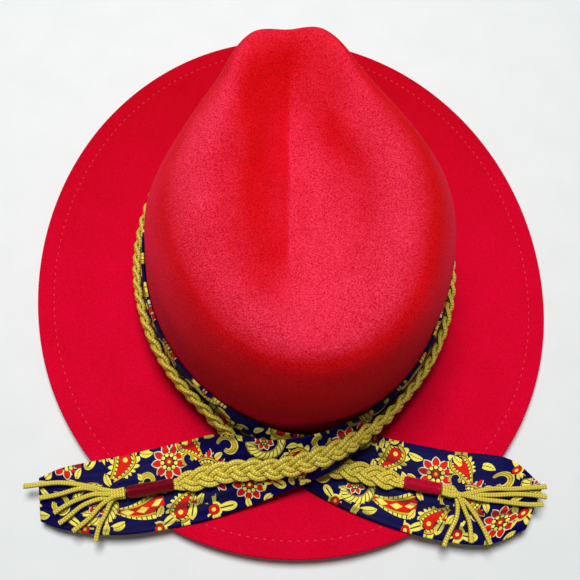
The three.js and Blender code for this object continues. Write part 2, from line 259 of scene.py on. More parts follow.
def smooth(x, low, high):
    t = np.clip((x - low) / (high - low), 0, 1)
    return t * t * (3 - 2 * t)


def unit(v):
    return v / np.maximum(np.linalg.norm(v, axis=-1, keepdims=True), 1e-12)


# Length along a line of points, from 0 at its first point
def lengthAlong(points):
    return np.concatenate([[0], np.cumsum(np.linalg.norm(np.diff(points, axis=0), axis=1))])


# The columns of a table read at places between its rows
def readAt(at, stations, table):
    return np.stack([np.interp(at, stations, column) for column in table.T], -1)


# A table eased down its rows by a running mean, weighted by a Hann window, over an odd number of rows.
# Past each end the table goes on mirrored through its end row.
def runningMean(table, width):
    kernel = np.hanning(width + 2)[1:-1]
    kernel /= kernel.sum()
    pad = width // 2
    before = 2 * table[:1] - table[pad:0:-1]
    after = 2 * table[-1:] - table[-2:-pad - 2:-1]
    more = np.concatenate([before, table, after])
    return np.stack([np.convolve(column, kernel, mode="valid") for column in more.T], 1)


# The level and the upper direction square to a way
def squareTo(way):
    side = unit(np.cross([0.0, 0.0, 1.0], way))
    return side, np.cross(way, side)


def turnsOf(sides):
    return np.arange(sides) * fullTurn / sides


# Rings of points round a line: middle + side*across + up*above, which have a last axis for the turn
def ringPoints(middle, side, up, across, above):
    return middle[..., None, :] + side[..., None, :] * across[..., None] + up[..., None, :] * above[..., None]


# Faces of a grid of points, row after row; each row closes on itself
def gridFaces(rows, columns):
    r, c = np.meshgrid(np.arange(rows - 1), np.arange(columns), indexing="ij")
    a = r * columns + c
    b = r * columns + (c + 1) % columns
    return np.stack([a, b, b + columns, a + columns], -1).reshape(-1, 4)


# Fans that close the two ends of such a grid, to two points that follow the grid's own
def endFans(rows, columns):
    k = np.arange(columns)
    following = (k + 1) % columns
    start = (rows - 1) * columns
    first = np.stack([np.full(columns, rows * columns), following, k], -1)
    last = np.stack([np.full(columns, rows * columns + 1), start + k, start + following], -1)
    return np.concatenate([first, last])


# A mesh object from points in millimetres and its faces, with a UV map in metres if one is given
def makePiece(name, points, quads, triangles, material, uv=None, flip=False):
    points = np.asarray(points, float).reshape(-1, 3) * mm
    if flip:
        quads, triangles = quads[:, ::-1], triangles[:, ::-1]
    mesh = bpy.data.meshes.new(name)
    mesh.vertices.add(len(points))
    mesh.vertices.foreach_set("co", points.astype(np.float32).ravel())
    corners = np.concatenate([quads.ravel(), triangles.ravel()])
    sizes = np.concatenate([np.full(len(quads), 4), np.full(len(triangles), 3)])
    mesh.loops.add(len(corners))
    mesh.loops.foreach_set("vertex_index", corners.astype(np.int32))
    mesh.polygons.add(len(sizes))
    starts = np.concatenate([[0], np.cumsum(sizes)[:-1]])
    mesh.polygons.foreach_set("loop_start", starts.astype(np.int32))
    mesh.update(calc_edges=True)
    mesh.validate()
    mesh.polygons.foreach_set("use_smooth", np.ones(len(sizes), bool))
    if uv is not None:
        layer = mesh.uv_layers.new(name="surface")
        layer.data.foreach_set("uv", uv.reshape(-1, 2)[corners].astype(np.float32).ravel())
    mesh.materials.append(material)
    piece = bpy.data.objects.new(name, mesh)
    bpy.context.scene.collection.objects.link(piece)
    return piece


# Parts of one mesh put together: each is (points, quads, triangles, uv)
def joinParts(parts):
    points, quads, triangles, uvs = [], [], [], []
    start = 0
    for p, q, t, w in parts:
        points.append(p)
        quads.append(q + start)
        triangles.append(t + start)
        uvs.append(w)
        start += len(p)
    return np.concatenate(points), np.concatenate(quads), np.concatenate(triangles), np.concatenate(uvs)


# Rings of a tube's domed end: places from the tip to the tube, and the least share of its width
domeSteps = np.array([0.0, 0.35, 0.65, 0.87])
domeTip = np.sqrt(0.02)


# A tube along a path: point = path + side*width*cos(turn) + up*height*sin(turn), for turn from 0 to
# a full circle, with both ends closed by a dome of a few rings. UV runs along it and round it.
def tubeParts(path, side, up, width, height, sides, dome=0.6):
    width = np.broadcast_to(width, len(path)).astype(float)
    height = np.broadcast_to(height, len(path)).astype(float)
    tangent = unit(np.gradient(path, axis=0))
    capIn = np.maximum(np.sqrt(1 - (1 - domeSteps) ** 2), domeTip)
    first = path[:1] - tangent[:1] * (dome * width[0] * (1 - domeSteps))[:, None]
    final = path[-1:] + tangent[-1:] * (dome * width[-1] * (1 - domeSteps[::-1]))[:, None]
    whole = np.concatenate([first, path, final])

    def held(rows):
        capRows = len(domeSteps)
        return np.concatenate([np.repeat(rows[:1], capRows, 0), rows, np.repeat(rows[-1:], capRows, 0)])

    w = np.concatenate([width[0] * capIn, width, width[-1] * capIn[::-1]])[:, None]
    h = np.concatenate([height[0] * capIn, height, height[-1] * capIn[::-1]])[:, None]
    turn = turnsOf(sides)
    points = ringPoints(whole, held(side), held(up), w * np.cos(turn), h * np.sin(turn))
    long = lengthAlong(whole) * mm
    uv = np.stack(np.broadcast_arrays(long[:, None], (turn / fullTurn)[None]), -1)
    points = np.concatenate([points.reshape(-1, 3), whole[:1], whole[-1:]])
    uv = np.concatenate([uv.reshape(-1, 2), [[long[0], 0.5]], [[long[-1], 0.5]]])
    return points, gridFaces(len(whole), sides), endFans(len(whole), sides), uv


# The felt body

hat = {
    "feltThick": 2.2,
    "headLength": 198,
    "headWidth": 164,
    "crownTwist": 2,  # degrees that the top is turned by
    "crownLean": 0.8,
    "shapedFrom": 30,  # heights over which the twist and the lean come in
    "shapedTo": 95,
    "hollowShift": 6,
    "hollowReach": 48,
    "floorZ": 86.8,
    "brimStation": 11,
    "stitchStation": 14,
    "edgeStation": 15,
    "probe": 0.05,  # stations to either side that give the surface's direction
    "angles": 288,
    # the way the felt's painted light comes from: faces turned from it get painted shade
    "paintedLightWay": (-0.18, 0.2, 0.96),
}
foldedHem = {
    "wide": 9,
    "extra": 1.8,  # what the fold adds to the felt
    "edgeOut": 0.8,  # half axes of the rounded edge
    "edgeHigh": 1,
    "roundFrom": 10,  # degrees that the round starts at
    "roundPoints": 6,
    "back": (0.15, 0.96),  # stations from the edge that the fold covers
    "backPoints": 8,
    "tuck": 0.5,  # the fold thins by this over the points from "thinFrom"
    "thinFrom": (3, 7),
}
groove = {"deep": 0.35, "wide": 0.07, "rows": (-0.12, -0.06, 0, 0.06, 0.12)}  # widths in stations
crease = {
    "deep": 1.6,
    "x": -2,
    "y": 60,
    "slant": 0.07,
    "leftWidth": 7.0,
    "rightWidth": 3.5,
    "rearFade": (-62, -18),
    "frontFade": (56, 82),
    "heightFade": (80, 86),
}
# stretches of the upper and of the inner surface: first station, last station, rows
outStretches = [(0.04, 3, 46), (3, 5, 26), (5, 8, 20), (8, 11, 19), (11, 15, 42)]
inStretches = [(13.7, 11, 14), (10.8, 8, 12), (7.6, 3.2, 20), (3, 0.08, 24)]
crownAt = [0, 12, 31, 52, 85, 115, 140, 163, 180]
crownTable = {
    "rimR": [83.4, 83.5, 62, 52, 49.5, 54, 62, 73, 79],
    "rimZ": [107.6, 108, 107.5, 106, 105, 104, 102.5, 100.5, 100],
    "bowlZ": [88.6, 88.8, 90.5, 92, 92.4, 91.8, 90.4, 88.4, 88],
    "slopeZ": [97, 100, 102, 102.6, 102.4, 101.4, 98.8, 94.6, 93.6],
    "bendR": [88.6, 90, 72.5, 65, 64.5, 69, 77.5, 86, 89.5],
    "bendZ": [99, 101, 99.5, 98, 97, 96, 95, 93.5, 92.5],
    "wallIn": [7, 6, 12.5, 13.5, 7.4, 7, 6.5, 6.5, 6.5],
    "bodyIn": [3.2, 3, 6, 6.6, 3.8, 3.5, 3.4, 3.4, 3.4],
}
brimAt = [0, 45, 70, 90, 120, 145, 180]
brimTable = {
    "wide": [61.5, 60.8, 60.8, 61.8, 64.4, 64.4, 61.5],
    "lift": [4.2, 4.2, 4.2, 4.2, 4.8, 5.6, 6.8],
}


# A table column at angles from the front, mirrored at the front and at the back
def sectionValue(at, column, angle):
    turn = np.abs((np.asarray(angle, float) + 540) % 360 - 180)
    stations = [-at[1], *at, 360 - at[-2]]
    values = [column[1], *column, column[-2]]
    return curveThrough(stations, values, turn)


# The crown's base is an ellipse round the head: across*along / hypot(across*cos, along*sin)
def baseRadius(angle):
    across = hat["headWidth"] / 2 + hat["feltThick"]
    along = hat["headLength"] / 2 + hat["feltThick"]
    a = np.radians(angle)
    return across * along / np.hypot(across * np.cos(a), along * np.sin(a))


# Stations of the upper surface, from the middle of the top to the hem, as radius and height: one row
# for each angle
def hatStations(angle):
    of = {key: sectionValue(crownAt, column, angle) for key, column in crownTable.items()}
    wide = sectionValue(brimAt, brimTable["wide"], angle)
    lift = sectionValue(brimAt, brimTable["lift"], angle)
    base = baseRadius(angle)
    thick = hat["feltThick"]
    level = np.ones_like(base)
    rows = [
        (0 * level, hat["floorZ"] * level),  # the floor of the hollow
        (0.36 * of["rimR"], of["bowlZ"]),
        (0.7 * of["rimR"], of["slopeZ"]),
        (of["rimR"], of["rimZ"]),
        (of["bendR"], of["bendZ"]),
        (base - of["wallIn"], 75 * level),  # the wall
        (base - of["bodyIn"], 50 * level),
        (base - 1.2, 27 * level),
        (base, 9 * level),
        (base + 1, 4.8 * level),  # the bend from the wall to the brim
        (base + 4.4, (thick + 0.3) * level),
        (base + 12, thick * level),  # the brim, which lifts over its outer half
        (base + 28, thick * level),
        (base + 44, thick + 0.45 * lift),
        (base + wide - foldedHem["wide"], thick + 0.86 * lift),
        (base + wide - foldedHem["edgeOut"], thick + lift),
    ]
    return np.array(rows).transpose(2, 0, 1)


# Radius and height at places along the stations: the curve of curveThrough over the chord lengths,
# worked out for all angles and places at once. It starts one station before the middle, mirrored.
def hatSurface(angle, place):
    half = hatStations(angle)
    stations = np.concatenate([half[:, 1:2] * [-1, 1], half], axis=1)
    chords = np.linalg.norm(np.diff(stations, axis=1), axis=2)
    chords = np.concatenate([np.zeros((len(chords), 1)), np.cumsum(chords, axis=1)], axis=1)
    count = chords.shape[1]
    before, after = neighbours(count)
    slope = (stations[:, after] - stations[:, before]) / (chords[:, after] - chords[:, before])[..., None]
    k = np.minimum(np.floor(place).astype(int) + 1, count - 2)
    u = (place + 1 - k)[None, :, None]
    span = (chords[:, k + 1] - chords[:, k])[..., None]
    return easedBetween(u, span, stations[:, k], stations[:, k + 1], slope[:, k], slope[:, k + 1])


# The line of one station round the hat
def hatLine(angle, station):
    return hatSurface(angle, np.array([float(station)]))[:, 0]


# Radius and height turned into a point, with the twist and lean of the hand-shaped top. The crease
# is pressed along the left of the hollow: it sinks by deep * exp(-distance / width).
def hatPoint(angle, rz):
    share = smooth(rz[..., 1], hat["shapedFrom"], hat["shapedTo"])
    turn = np.radians(angle) - math.radians(hat["crownTwist"]) * share
    across = hat["crownLean"] * share + hat["hollowShift"] * (1 - smooth(rz[..., 0], 0, hat["hollowReach"]))
    x = rz[..., 0] * np.sin(turn) + across
    y = rz[..., 0] * np.cos(turn)
    off = x - crease["x"] + crease["slant"] * (crease["y"] - y)
    sharp = np.exp(-np.abs(off) / np.where(off < 0, crease["leftWidth"], crease["rightWidth"]))
    fade = smooth(y, *crease["rearFade"]) * (1 - smooth(y, *crease["frontFade"]))
    fade = fade * smooth(rz[..., 1], *crease["heightFade"])
    return np.stack([x, y, rz[..., 1] - crease["deep"] * sharp * fade], -1)


# The hem's profile: a rounded edge, then back under the brim and up to the single felt
def hemProfile(angle, edge):
    thick = hat["feltThick"]
    under = thick + foldedHem["extra"]
    out, high = foldedHem["edgeOut"], foldedHem["edgeHigh"]
    start = math.radians(foldedHem["roundFrom"])
    turn = np.linspace(start, math.pi / 2, foldedHem["roundPoints"])
    rows = [edge + np.stack([out * np.sin(q), high * np.cos(q) - high]) for q in turn]
    rows += [edge + np.stack([out * np.cos(q), high - high * np.sin(q) - under]) for q in turn - start]
    points = foldedHem["backPoints"]
    back = hatSurface(angle, hat["edgeStation"] - np.linspace(*foldedHem["back"], points))
    thin = foldedHem["tuck"] * smooth(np.arange(points), *foldedHem["thinFrom"])
    rows += [back[:, i] - [0, under - thin[i]] for i in range(points)]
    rows.append(hatLine(angle, hat["stitchStation"]) - [0, thick])
    return np.stack(rows, 1)


# The inner surface lies one felt thickness off the upper one, square to it, or straight down on the brim
def innerProfile(angle):
    places = np.concatenate([np.linspace(*stretch) for stretch in inStretches])
    near = hat["probe"]
    along = unit(hatSurface(angle, places + near) - hatSurface(angle, np.maximum(places - near, 0)))
    square = np.stack([along[..., 1], -along[..., 0]], -1)
    down = np.where((places >= hat["brimStation"])[None, :, None], [0.0, -1.0], square)
    return hatSurface(angle, places) + hat["feltThick"] * down


# How far the felt faces the way of its painted light, from 0 to 1, kept as a point attribute that sets the
# felt's painted light and shade
def storePaintedLight(piece, points):
    alongRow = np.roll(points, -1, 1) - np.roll(points, 1, 1)
    downRow = np.gradient(points, axis=0)
    facing = unit(np.cross(alongRow, downRow))
    facing = facing * np.sign(facing[0, 0, 2])
    level = np.clip(facing @ unit(np.array(hat["paintedLightWay"])), 0, 1)
    level = np.concatenate([level.ravel(), [1, 1]])
    layer = piece.data.attributes.new("paintedLight", "FLOAT", "POINT")
    layer.data.foreach_set("value", level.astype(np.float32))


def feltBody(material):
    count = hat["angles"]
    angle = np.arange(count) * 360 / count
    places = np.concatenate([np.linspace(*stretch) for stretch in outStretches])
    places = np.unique(np.concatenate([places, hat["stitchStation"] + np.array(groove["rows"])]))
    upper = hatSurface(angle, places)
    # the stitching draws a groove: it sinks by deep * exp(-(distance in stations / width)^2)
    upper[..., 1] -= groove["deep"] * np.exp(-((places - hat["stitchStation"]) / groove["wide"]) ** 2)
    profile = np.concatenate([upper, hemProfile(angle, upper[:, -1]), innerProfile(angle)], axis=1)
    rows = profile.shape[1]
    points = hatPoint(angle[:, None], profile).transpose(1, 0, 2)
    lean = hat["crownLean"] + hat["hollowShift"]
    tips = [[lean, 0, hat["floorZ"]], [lean, 0, hat["floorZ"] - hat["feltThick"]]]
    allPoints = np.concatenate([points.reshape(-1, 3), tips])
    piece = makePiece("hat_felt", allPoints, gridFaces(rows, count), endFans(rows, count), material)
    storePaintedLight(piece, points)
    return piece


stitch = {
    "pitch": 4.3,
    "long": 2.5,
    "radius": 0.36,
    "rise": 0.24,
    "endThin": 0.05,
    "sides": 5,
    "rings": 5,
    "linePoints": 1440,
}


# Running stitches round the hem. Each is a short bar, bowed up by rise*sin(pi*share along it) with
# its ends under the felt; its thickness swells as sin(pi*share)^0.5
def hemStitching(material):
    fine = np.arange(stitch["linePoints"]) * 360 / stitch["linePoints"]
    line = hatPoint(fine, hatLine(fine, hat["stitchStation"]))
    line[:, 2] -= groove["deep"]
    closed = np.concatenate([line, line[:1]])
    long = lengthAlong(closed)
    count = int(long[-1] / stitch["pitch"])
    rings, sides = stitch["rings"], stitch["sides"]
    share = np.linspace(0, 1, rings)
    s = np.arange(count)[:, None] * long[-1] / count + share * stitch["long"]
    middle = readAt(s, long, closed)
    bow = np.sin(math.pi * share)
    middle[..., 2] += stitch["rise"] * (2 * bow - 1)
    side, above = squareTo(unit(np.gradient(middle, axis=1)))
    turn = turnsOf(sides)
    radius = (stitch["radius"] * np.maximum(bow, stitch["endThin"]) ** 0.5)[:, None]
    points = ringPoints(middle, side, above, radius * np.cos(turn), radius * np.sin(turn))
    body = gridFaces(rings, sides)
    k = np.arange(sides - 2)
    caps = np.concatenate([np.stack([0 * k, k + 2, k + 1], -1),
                           (rings - 1) * sides + np.stack([0 * k, k + 1, k + 2], -1)])
    step = (np.arange(count) * rings * sides)[:, None, None]
    return makePiece("hem_stitching", points, (body + step).reshape(-1, 4), (caps + step).reshape(-1, 3),
                     material)


# The folded scarf

strip = {
    "bandLow": 5.4,
    "bandHigh": 31,
    "footOut": 0.8,  # how far the band's foot stands out from the crown's base
    "topIn": 1.4,
    "clothThick": 2.2,
    "gap": 0.4,
    "bandHalf": 23,  # half of the band, in rows of the solid
    "sectors": 56,  # rows of the solid in a full turn
    "fine": 8,  # rows here in one row of the solid
    "joinHold": 1.6,
    "joinFade": 2.5,
}
overTail = np.array([
    # lowX, lowY, lowZ, topX, topY, topZ, place of the plait
    (38, -98, 10, 34.4, -92.6, 31, 0.6),
    (14, -118, 16.6, 8, -103.4, 31, 0.55),
    (-11, -127, 10, -18, -105.5, 26, 0.52),
    (-34, -134.2, 7, -45.5, -99.8, 18.5, 0.52),
    (-60, -140.8, 8, -67, -101.8, 9.5, 0.5),
    (-96, -144.2, 8.8, -100, -107, 8, 0.5),
    (-124, -140, 7.2, -126, -110.6, 7.6, 0.5),
    (-137, -135, 5.6, -139, -115, 5.8, 0.5),
])
underTail = np.array([
    (-40, -97, 3.5, -35.8, -91.2, 29.5, 0.34),
    (-24, -112, 2.8, -15, -100.6, 25, 0.42),
    (-5, -124, 3, 9, -103.2, 17, 0.5),
    (14, -136.2, 4.4, 31, -102.2, 7, 0.48),
    (38, -148.2, 8.7, 53, -107.4, 4.6, 0.5),
    (62, -156.3, 9.4, 78, -114, 6.6, 0.52),
    (88, -160.4, 9, 106, -119.6, 8.8, 0.5),
    (110, -154.5, 7.2, 122.5, -134.5, 7.4, 0.5),
])
bandPlaitAt = [0, 60, 85, 105, 130, 180]
bandPlait = {"over": [0.16, 0.17, 0.45, 0.58, 0.6, 0.6], "under": [0.16, 0.16, 0.2, 0.48, 0.56, 0.42]}


# The band's two edges at angles from the front, as low x, y, z, top x, y, z and the plait's share
def bandRows(angle):
    base = baseRadius(angle) + strip["gap"]
    low = hatPoint(angle, np.stack([base + strip["footOut"], np.full_like(base, strip["bandLow"])], -1))
    top = hatPoint(angle, np.stack([base - strip["topIn"], np.full_like(base, strip["bandHigh"])], -1))
    plait = np.where(angle > 0, sectionValue(bandPlaitAt, bandPlait["over"], angle),
                     sectionValue(bandPlaitAt, bandPlait["under"], angle))
    return np.concatenate([low, top, plait[:, None]], 1)


# All rows of the strip in order: over tail from its end, band round the front, under tail to its end
def stripTable():
    fine = strip["fine"]
    half = strip["bandHalf"]
    angle = (half - np.arange(2 * half * fine + 1) / fine) * 360 / strip["sectors"]
    band = bandRows(angle)

    def tail(rows, start):
        table = np.concatenate([start[None], rows])
        at = np.arange(2 * fine * len(rows) + 1) / (2 * fine)
        return curveThrough(np.arange(len(table)), table, at)[1:]

    rows = np.concatenate([tail(overTail, band[0])[::-1], band, tail(underTail, band[-1])])
    # both joins of a tail and the band are eased: the eased share is hold - distance / fade, the
    # distance in rows of the solid, kept within 0 and 1
    eased = runningMean(rows, 2 * fine + 1)
    joins = [2 * fine * len(overTail), len(rows) - 1 - 2 * fine * len(underTail)]
    off = np.min([np.abs(np.arange(len(rows)) - join) for join in joins], axis=0)
    near = np.clip(strip["joinHold"] - off / (strip["joinFade"] * fine), 0, 1)[:, None]
    return rows + (eased - rows) * near


stripRows = stripTable()
rowLow, rowTop, rowPlait = stripRows[:, 0:3], stripRows[:, 3:6], stripRows[:, 6]
rowOut = unit(np.cross(np.gradient(rowLow + rowTop, axis=0), rowTop - rowLow))
rowLong = lengthAlong((rowLow + rowTop) / 2)
rowWide = np.linalg.norm(rowTop - rowLow, axis=1)


# The row that a tail's table row gives, counted from the crown
def overRowAt(row):
    return (len(overTail) - row - 1) * 2 * strip["fine"]


def underRowAt(row):
    return len(stripRows) - 1 - (len(underTail) - row - 1) * 2 * strip["fine"]


# Places on the strip, and its outward direction there: rows that need not be whole, a share of the
# way across and a height above the underside. point = low + (top - low)*share + out*height
def stripPlace(at, share, height):
    index = np.arange(len(stripRows))
    low, top, out = (readAt(at, index, column) for column in (rowLow, rowTop, rowOut))
    out = unit(out)
    return low + (top - low) * share[..., None] + out * height[..., None], out


# The same on the middle line of the plait, which lies one gap above the cloth
def plaitPlace(at, halfHigh):
    height = strip["clothThick"] + strip["gap"] + halfHigh
    share = np.interp(at, np.arange(len(stripRows)), rowPlait)
    return stripPlace(at, share, np.full(len(at), height))


# The print's repeat: where each motif lies along and across the cloth, its turn in degrees, its size
# and its kind
printRepeat = {
    "long": 92,
    "shift": 14,
    "across": 43,
    "swell": 1.08,
    "motifs": [
        (-2, 36, 200, 1.0, "sprig"),
        (93, 32, -70, 0.9, "hook"),
        (4.5, 5.5, 120, 1.05, "drop"),
        (9, 21, 70, 1.0, "fan"),
        (28, 33, 15, 1.0, "daisy"),
        (24, 11, 160, 1.15, "hook"),
        (43, 13, 200, 1.0, "scroll"),
        (42, 36, 140, 1.1, "sprig"),
        (58, 32, 165, 1.15, "drop"),
        (65, 10, 100, 1.0, "wedge"),
        (82, 32, 40, 1.05, "daisy"),
        (85, 10, -20, 1.1, "drop"),
        (33, 22, 70, 1.0, "leaf"),
        (49, 26, 20, 0.9, "leaf"),
        (53, 3, 110, 1.05, "leaf"),
        (70, 38, 80, 1.0, "leaf"),
        (70, 24, -40, 1.0, "hook"),
        (12, 40, 95, 1.1, "sprig"),
        (15, 2.5, 100, 1.05, "leaf"),
        (33, 3, 60, 0.95, "sprig"),
        (57, 43, 120, 1.0, "leaf"),
        (76, 2, -60, 1.0, "sprig"),
        (92, 41, 60, 1.0, "leaf"),
        (19, 24, 150, 0.85, "leaf"),
        (76, 19, 30, 0.85, "leaf"),
        (35, 42.5, 70, 0.85, "leaf"),
        (34, 28, -20, 0.8, "leaf"),
        (17, 14.5, 60, 0.8, "leaf"),
        (2, 33, 30, 0.9, "leaf"),
        (50, 38.5, 0, 0.8, "leaf"),
        (56, 20, 100, 0.75, "leaf"),
        (90, 20, 10, 0.9, "hook"),
        (47, 1.5, 160, 0.85, "leaf"),
        (66, 26.5, 60, 0.75, "leaf"),
        (74, 8, 150, 0.85, "leaf"),
        (24, 42, 0, 0.8, "leaf"),
    ],
}
# the kinds of motif and how far each reaches, so that a face goes to the motif it lies deepest in
kindReach = {
    "scroll": 11,
    "daisy": 8.6,
    "drop": 10.5,
    "wedge": 12,
    "sprig": 7.4,
    "hook": 5.6,
    "leaf": 4.2,
    "fan": 12.4,
}
kindScale = 10  # keeps the kind's number within the unit square of its UV map


# Every motif on the cloth: place along and across, turn in radians, size and kind's number. Each
# second repeat is turned over.
def motifTable():
    names = list(kindReach)
    motifs = []
    for repeat in range(int(rowLong[-1] / printRepeat["long"]) + 2):
        base = repeat * printRepeat["long"] - printRepeat["shift"]
        for along, across, turn, size, kind in printRepeat["motifs"]:
            if repeat % 2:
                across, turn = printRepeat["across"] - across, -turn
            swollen = size * printRepeat["swell"]
            motifs.append((base + along, across, math.radians(turn), swollen, names.index(kind)))
    return np.array(motifs)


# Each face of the cloth takes the motif that it lies deepest in. Two UV maps then hold, for each
# corner, its place in that motif's own axes, in metres, and the motif's kind.
def layMotifs(piece):
    mesh = piece.data
    count = len(mesh.loops)
    flat = np.zeros(count * 2, np.float32)
    mesh.uv_layers["surface"].data.foreach_get("uv", flat)
    corner = flat.reshape(-1, 2).astype(float) / mm
    sizes = np.zeros(len(mesh.polygons), np.int32)
    mesh.polygons.foreach_get("loop_total", sizes)
    owner = np.repeat(np.arange(len(sizes)), sizes)
    middle = np.stack([np.bincount(owner, corner[:, i]) / sizes for i in range(2)], 1)
    motifs = motifTable()
    reach = np.array(list(kindReach.values()))[motifs[:, 4].astype(int)] * motifs[:, 3]
    best = np.full(len(middle), np.inf)
    chosen = np.zeros(len(middle), int)
    for i, row in enumerate(motifs):
        depth = np.hypot(middle[:, 0] - row[0], middle[:, 1] - row[1]) / reach[i]
        nearer = depth < best
        best[nearer] = depth[nearer]
        chosen[nearer] = i
    own = motifs[chosen[owner]]
    x, y = corner[:, 0] - own[:, 0], corner[:, 1] - own[:, 1]
    c, s = np.cos(own[:, 2]), np.sin(own[:, 2])
    local = np.stack([(c * x + s * y) / own[:, 3], (c * y - s * x) / own[:, 3]], 1) * mm
    kinds = np.stack([own[:, 4] / kindScale, np.zeros(count)], 1)
    for name, values in (("motif", local), ("kind", kinds)):
        layer = mesh.uv_layers.new(name=name)
        layer.data.foreach_set("uv", values.astype(np.float32).ravel())


fold = {
    "columns": 49,
    "edgeColumns": 5,
    "edgeOut": 1.0,
    "at": [0, 0.22, 0.48, 0.74, 1],
    "high": [0.72, 0.96, 0.78, 0.96, 0.68],  # shares of the cloth's thickness
    "pleatEnds": (0.04, 0.96),
    "broadHigh": 0.10,
    "broadTurns": 23,  # radians from edge to edge
    "broadSway": 1.7,
    "swayLong": 47,  # millimetres along the strip for one radian
    "broadDrift": 61,
    "narrowHigh": 0.07,
    "narrowTurns": 41,
    "narrowDrift": 38,
}


# The outer face's height over the underside: two long soft folds, with narrow pleats that wander
# along the strip. Two sines across make the pleats, and sines of the length s move them.
def foldHeight(across, s):
    soft = curveThrough(fold["at"], fold["high"], across)[None]
    sway = fold["broadSway"] * np.sin(s / fold["swayLong"]) + s / fold["broadDrift"]
    broad = fold["broadHigh"] * np.sin(across * fold["broadTurns"] + sway)
    narrow = fold["narrowHigh"] * np.sin(across * fold["narrowTurns"] - s / fold["narrowDrift"])
    inward = np.sin(math.pi * np.clip(across, *fold["pleatEnds"]))
    return strip["clothThick"] * (soft + (broad + narrow) * inward)


def scarfPiece(material):
    count = len(stripRows)
    half = fold["columns"]
    edge = fold["edgeColumns"]
    rows = np.arange(count, dtype=float)[:, None]
    across = np.linspace(0, 1, half)
    outer, _ = stripPlace(rows, across[None], foldHeight(across, rowLong[:, None]))
    inner, _ = stripPlace(rows, across[None], np.zeros((count, half)))
    # rounded edges: half circles between the outer face and the underside
    lowMid = (outer[:, :1] + inner[:, :1]) / 2
    topMid = (outer[:, -1:] + inner[:, -1:]) / 2
    outward = unit(rowTop - rowLow)[:, None] * fold["edgeOut"]
    bulge = np.radians(np.linspace(0, 180, edge + 2))[None, 1:-1, None]
    lowRing = lowMid + (outer[:, :1] - lowMid) * -np.cos(bulge) - outward * np.sin(bulge)
    topRing = topMid + (outer[:, -1:] - topMid) * np.cos(bulge) + outward * np.sin(bulge)
    ring = np.concatenate([outer, topRing, inner[:, ::-1], lowRing], axis=1)
    columns = ring.shape[1]
    wide = rowWide[:, None]
    crosswise = np.concatenate(
        [across * wide, np.repeat(wide, edge, 1), across[::-1] * wide, np.zeros((count, edge))], 1)
    uv = np.stack([np.repeat(rowLong[:, None], columns, 1), crosswise], -1) * mm

    # each end is closed by a row of faces from the outer face to the underside and a fan at each edge
    def capFaces(base):
        a = base + np.arange(half - 1)
        d = base + 2 * half + edge - 1 - np.arange(half - 1)
        return np.stack([a, a + 1, d - 1, d], -1)

    def edgeFans(base):
        high = np.arange(half - 1, half + edge + 1) + base
        low = np.arange(columns - edge - 1, columns + 1) % columns + base
        return np.concatenate([np.stack([np.full(edge, e[0]), e[1:-1], e[2:]], -1) for e in (high, low)])

    end = (count - 1) * columns
    quads = np.concatenate([gridFaces(count, columns), capFaces(0)[:, ::-1], capFaces(end)])
    fans = np.concatenate([edgeFans(0)[:, ::-1], edgeFans(end)])
    piece = makePiece("scarf_cloth", ring, quads, fans, material, uv, flip=True)
    layMotifs(piece)
    return piece


# The plait, its bindings and its tassels

plait = {
    "wide": 11.7,
    "thick": 4.6,
    "period": 25.8,  # one strand's way from side to side and back
    "strands": 3,
    "cordWide": 1.36,  # half the width of one cord
    "cordThick": 1.05,
    "cordPress": 1.02,  # the two cords of a strand press into each other
    "sides": 12,
    "readings": 4001,
    "easeWidth": 81,
    "spacing": 0.75,
    "gatherLong": 9,
    "endReach": 0.35,  # shares that are left at both ends, where the strands gather
    "endLift": 0.6,
    "endCord": 0.72,
}
binding = {
    "radius": 3.3,
    "body": 0.95,
    "pitch": 0.62,
    "ridge": 0.16,
    "taper": 0.14,
    "taperShare": 0.07,
    "lumpRound": (0.12, 3, 1.0),  # height, waves and start
    "lumpLong": (0.10, 9, 2),
    "sides": 40,
    "ringsForTurn": 5,
}
tassel = {
    "radius": 1.3,
    "radiusAt": [0, 0.15, 0.9, 1],
    "radiusShares": [0.8, 0.96, 0.98, 1.06],
    "headLong": 6,
    "headRadius": 0.8,  # share of the binding's radius
    "press": 0.6,
    "rise": (0.9, -0.7),
    "rootGap": 0.6,
    "sway": 1.4,
    "swayFrom": (0.25, 0.7),
    "swayTurns": 1.15,
    "swayShift": 0.37,
    "points": 60,
    "dome": 0.25,
}
overEnds = {"braid": 4.18, "binding": 4.85}
underEnds = {"braid": 4.12, "binding": 4.87}
# each cord of a tassel: its middle and its tip
overTassel = [
    ((-118, -119.5, 12.6), (-145.6, -117.8, 10.4)),
    ((-116, -121.6, 12.8), (-137.4, -124.7, 10.6)),
    ((-113, -125, 12.8), (-129.2, -132.9, 11.4)),
    ((-110.5, -128.4, 12.8), (-127.1, -136.9, 11.2)),
    ((-108, -132, 12.8), (-119.4, -142.2, 11.4)),
    ((-104.5, -136, 12.8), (-108.6, -147.1, 11)),
]
underTassel = [
    ((96, -134, 12.8), (123.4, -135.2, 11.6)),
    ((95, -137.2, 12.8), (122.5, -139.7, 11.6)),
    ((92, -140.2, 12.8), (119.9, -143, 11.6)),
    ((84, -147, 13), (88.2, -161.2, 13.2)),
    ((79, -148.5, 13), (79.6, -159.8, 13)),
    ((73.5, -147, 13), (65, -160.6, 13)),
]


